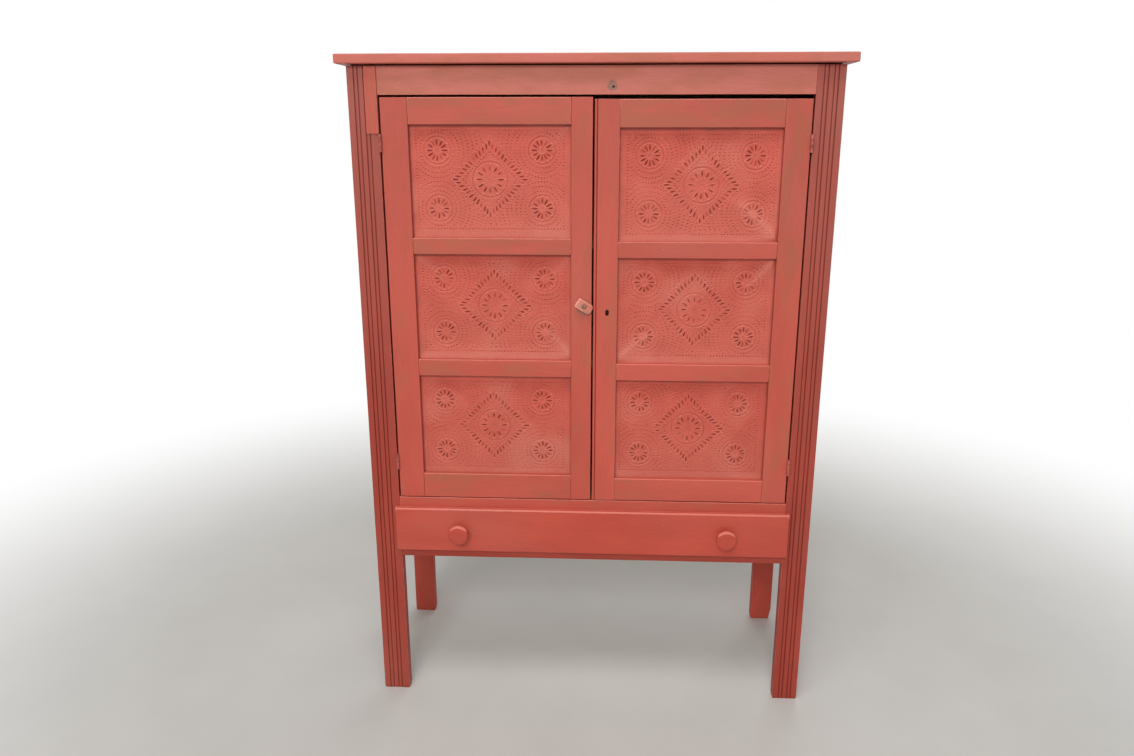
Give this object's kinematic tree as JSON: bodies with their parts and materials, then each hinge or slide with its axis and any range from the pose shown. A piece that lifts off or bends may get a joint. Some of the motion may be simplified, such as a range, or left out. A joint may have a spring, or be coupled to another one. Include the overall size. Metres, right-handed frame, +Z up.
{
  "type": "pie safe",
  "caption": "Painted pie safe on tall square legs, with reeded front posts, hinged doors of punched tin, a turn button, and a lipped drawer with turned knobs.",
  "frame": {"origin": "on the floor, under the middle of the box round the whole object, knobs included", "axes": "+X to the right seen from the front, +Y to the back, +Z up; the doors and the drawer open towards -Y"},
  "size_m": [1.039, 0.4314, 1.468],
  "materials": {
    "painted_wood": "old brick red paint, satin, worn at the edges",
    "worn_painted_wood": "old brick red paint rubbed through to the wood",
    "painted_tin": "old brick red paint over punched tin",
    "painted_iron": "painted over with the frame",
    "worn_steel": "dull, paint worn off",
    "dark_iron": "dark, dull",
    "bare_pine": "bare, aged"
  },
  "bodies": {
    "case": {"post_front_left": "painted_wood", "post_front_right": "painted_wood", "post_back_left": "painted_wood", "post_back_right": "painted_wood", "post_repair_strip": "painted_wood", "rail_header": "painted_wood", "rail_sill": "painted_wood", "rail_drawer": "painted_wood", "top_board": "painted_wood", "side_left_rail_top": "painted_wood", "side_left_rail_upper": "painted_wood", "side_left_rail_lower": "painted_wood", "side_left_rail_bottom": "painted_wood", "side_right_rail_top": "painted_wood", "side_right_rail_upper": "painted_wood", "side_right_rail_lower": "painted_wood", "side_right_rail_bottom": "painted_wood", "side_left_tins": "painted_tin", "side_right_tins": "painted_tin", "back_boards": "bare_pine", "case_floor": "bare_pine", "shelf_upper": "bare_pine", "shelf_lower": "bare_pine", "hinge_left_upper_post_leaf": "painted_iron", "hinge_left_lower_post_leaf": "painted_iron", "hinge_right_upper_post_leaf": "painted_iron", "hinge_right_lower_post_leaf": "painted_iron"},
    "door_left": {"door_left_stile_outer": "painted_wood", "door_left_stile_meeting": "painted_wood", "door_left_rail_top": "painted_wood", "door_left_rail_upper": "painted_wood", "door_left_rail_lower": "painted_wood", "door_left_rail_bottom": "painted_wood", "door_left_tin_top": "painted_tin", "door_left_tin_middle": "painted_tin", "door_left_tin_bottom": "painted_tin", "hinge_left_upper_door_leaf": "painted_iron", "hinge_left_lower_door_leaf": "painted_iron", "turn_button_screw": "worn_steel"},
    "door_right": {"door_right_stile_outer": "painted_wood", "door_right_stile_meeting": "painted_wood", "door_right_rail_top": "painted_wood", "door_right_rail_upper": "painted_wood", "door_right_rail_lower": "painted_wood", "door_right_rail_bottom": "painted_wood", "door_right_tin_top": "painted_tin", "door_right_tin_middle": "painted_tin", "door_right_tin_bottom": "painted_tin", "hinge_right_upper_door_leaf": "painted_iron", "hinge_right_lower_door_leaf": "painted_iron", "lock_case": "dark_iron"},
    "turn_button": {"turn_button": "worn_painted_wood"},
    "lock_bolt": {"lock_bolt": "dark_iron"},
    "drawer": {"drawer_front": "painted_wood", "drawer_side_left": "bare_pine", "drawer_side_right": "bare_pine", "drawer_back": "bare_pine", "drawer_bottom": "bare_pine", "drawer_knob_left": "painted_wood", "drawer_knob_right": "painted_wood"}
  },
  "joints": [
    {"name": "door_left_hinge", "type": "hinge", "parent": "case", "child": "door_left", "pos_m": [-0.4373, -0.1751, 0.9], "axis": [0, 0, -1], "range_deg": [0, 170]},
    {"name": "door_right_hinge", "type": "hinge", "parent": "case", "child": "door_right", "pos_m": [0.4413, -0.1751, 0.9], "axis": [0, 0, 1], "range_deg": [0, 170]},
    {"name": "turn_button_pivot", "type": "hinge", "parent": "door_left", "child": "turn_button", "pos_m": [-0.0156, -0.1763, 0.958], "axis": [0, -1, 0], "continuous": true},
    {"name": "lock_bolt_slide", "type": "slide", "parent": "door_right", "child": "lock_bolt", "axis": [-1, 0, 0], "range_m": [0, 0.008]},
    {"name": "drawer_slide", "type": "slide", "parent": "case", "child": "drawer", "axis": [0, -1, 0], "range_m": [0, 0.26]}
  ]
}
